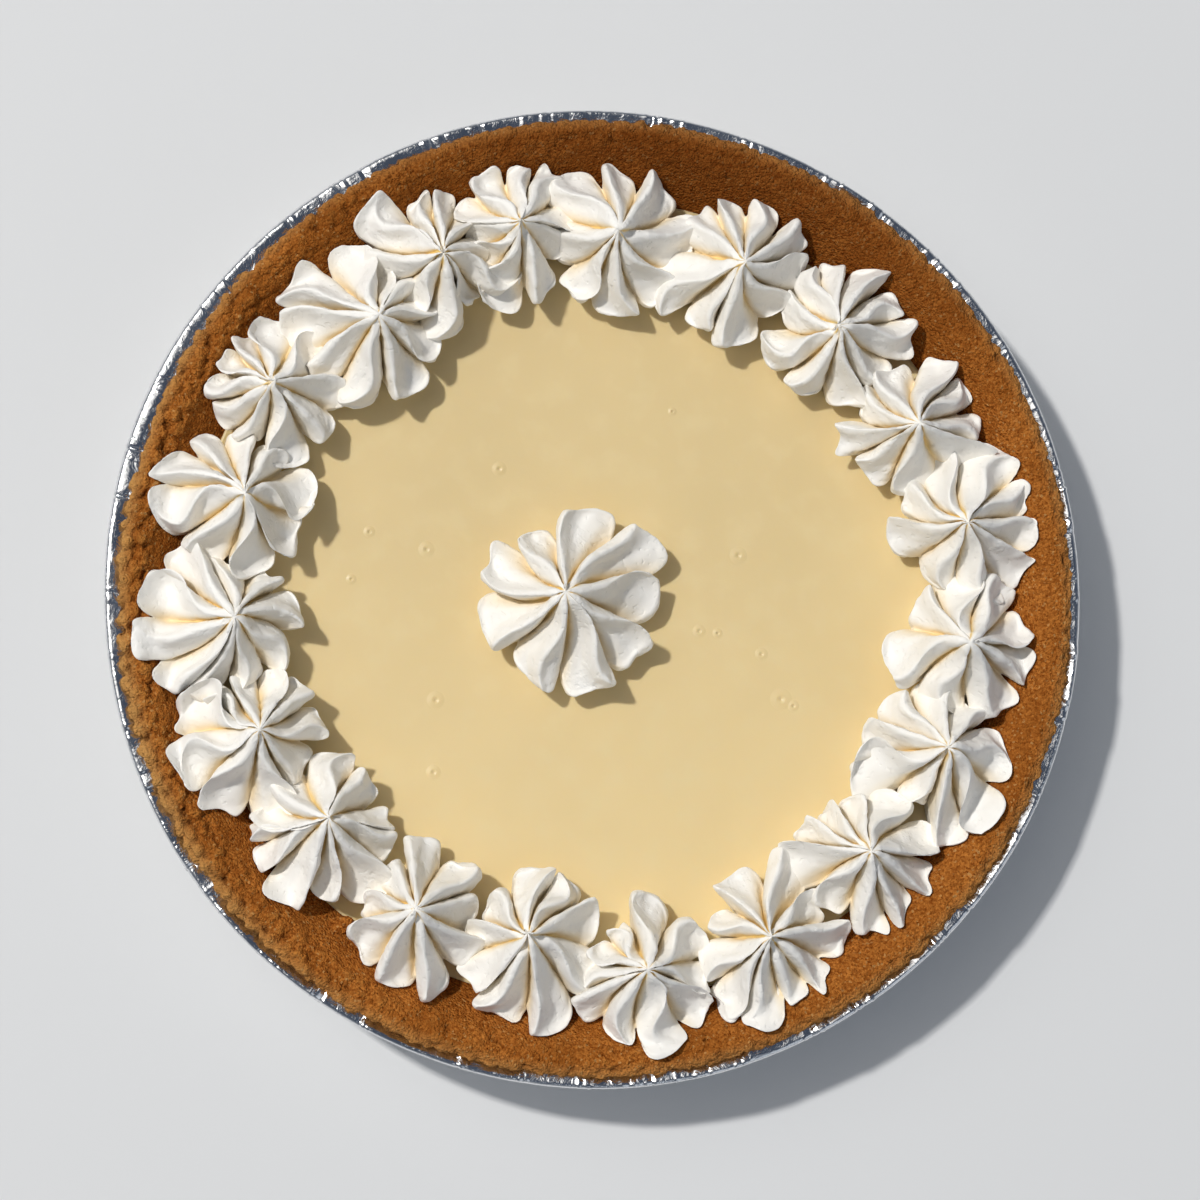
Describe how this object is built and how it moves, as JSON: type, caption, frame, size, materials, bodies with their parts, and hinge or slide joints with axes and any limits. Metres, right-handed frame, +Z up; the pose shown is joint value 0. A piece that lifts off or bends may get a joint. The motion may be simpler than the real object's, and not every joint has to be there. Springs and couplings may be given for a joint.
{
  "type": "key lime pie",
  "caption": "Whole custard pie in a crumb crust and a foil tin, topped with a ring of piped cream rosettes and a larger rosette in the middle.",
  "frame": {"origin": "middle of the tin's underside, on the surface it stands on", "axes": "+Z up through the pie, +X to the right and +Y to the top of the pie as seen from above"},
  "size_m": [0.248, 0.248, 0.051],
  "materials": {
    "foil": "bright crinkled foil",
    "crumb": "coarse pressed biscuit crumb",
    "custard": "smooth satin custard",
    "cream": "smooth matt whipped cream"
  },
  "bodies": {
    "root": {"foil_tin": "foil", "crumb_crust": "crumb", "lime_custard": "custard", "cream_rosette_middle": "cream", "cream_rosette_01": "cream", "cream_rosette_02": "cream", "cream_rosette_03": "cream", "cream_rosette_04": "cream", "cream_rosette_05": "cream", "cream_rosette_06": "cream", "cream_rosette_07": "cream", "cream_rosette_08": "cream", "cream_rosette_09": "cream", "cream_rosette_10": "cream", "cream_rosette_11": "cream", "cream_rosette_12": "cream", "cream_rosette_13": "cream", "cream_rosette_14": "cream", "cream_rosette_15": "cream", "cream_rosette_16": "cream", "cream_rosette_17": "cream", "cream_rosette_18": "cream", "cream_rosette_19": "cream", "cream_rosette_20": "cream"}
  },
  "joints": []
}
